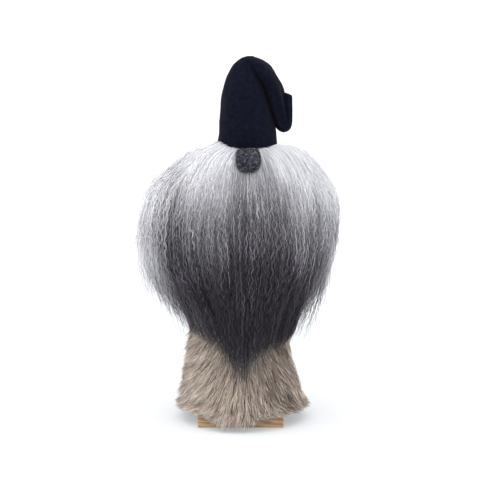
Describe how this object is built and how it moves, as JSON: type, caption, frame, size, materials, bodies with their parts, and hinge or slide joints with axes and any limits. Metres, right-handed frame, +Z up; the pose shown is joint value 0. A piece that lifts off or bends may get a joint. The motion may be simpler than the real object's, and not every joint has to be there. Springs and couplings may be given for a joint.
{
  "type": "tomte gnome figurine",
  "caption": "Free-standing gnome on a square wooden board, with a fur coat, a wide wavy wool beard, a round felt nose and a tall wool hat whose folded tip bends.",
  "frame": {"origin": "centre of the square board's underside, on the surface that the figure stands on", "axes": "+Z up to the crown of the hat, -Y out of the nose and beard, +X to the side that the hat's tip hangs on"},
  "size_m": [0.226, 0.1598, 0.4075],
  "materials": {
    "board_wood": "satin",
    "turned_wood": "matte",
    "steel": "satin",
    "pelt_skin": "matte",
    "coat_hair": "matte",
    "beard_locks": "matte",
    "wadding": "matte",
    "nose_felt": "matte",
    "hat_cloth": "matte",
    "thread": "matte",
    "waxed_cord": "satin"
  },
  "bodies": {
    "figure": {"base_board": "board_wood", "base_screws": "steel", "foot_disc": "turned_wood", "core_post": "turned_wood", "head_block": "turned_wood", "body_wadding": "wadding", "coat_hide": "pelt_skin", "coat_seam_thread": "thread", "coat_tacks": "steel", "coat_fur": "coat_hair", "neck_cord": "waxed_cord", "beard_hide": "pelt_skin", "beard_tacks": "steel", "beard_wool": "beard_locks", "nose_ball": "nose_felt", "nose_thread": "thread", "hat_cone": "hat_cloth", "hat_seam_thread": "thread", "hat_wadding": "wadding", "hat_pins": "steel"},
    "hat_tip": {"hat_tip": "hat_cloth", "tip_wire": "steel"},
    "hat_tip_end": {"hat_tip_end": "hat_cloth", "end_wire": "steel"}
  },
  "joints": [
    {"name": "crown_fold", "type": "hinge", "parent": "figure", "child": "hat_tip", "pos_m": [0.015, 0, 0.39928], "axis": [0, -1, 0], "range_deg": [0, 50]},
    {"name": "tip_turn", "type": "hinge", "parent": "hat_tip", "child": "hat_tip_end", "pos_m": [0.04695, 0, 0.3296], "axis": [0, 1, 0], "range_deg": [0, 70]}
  ]
}
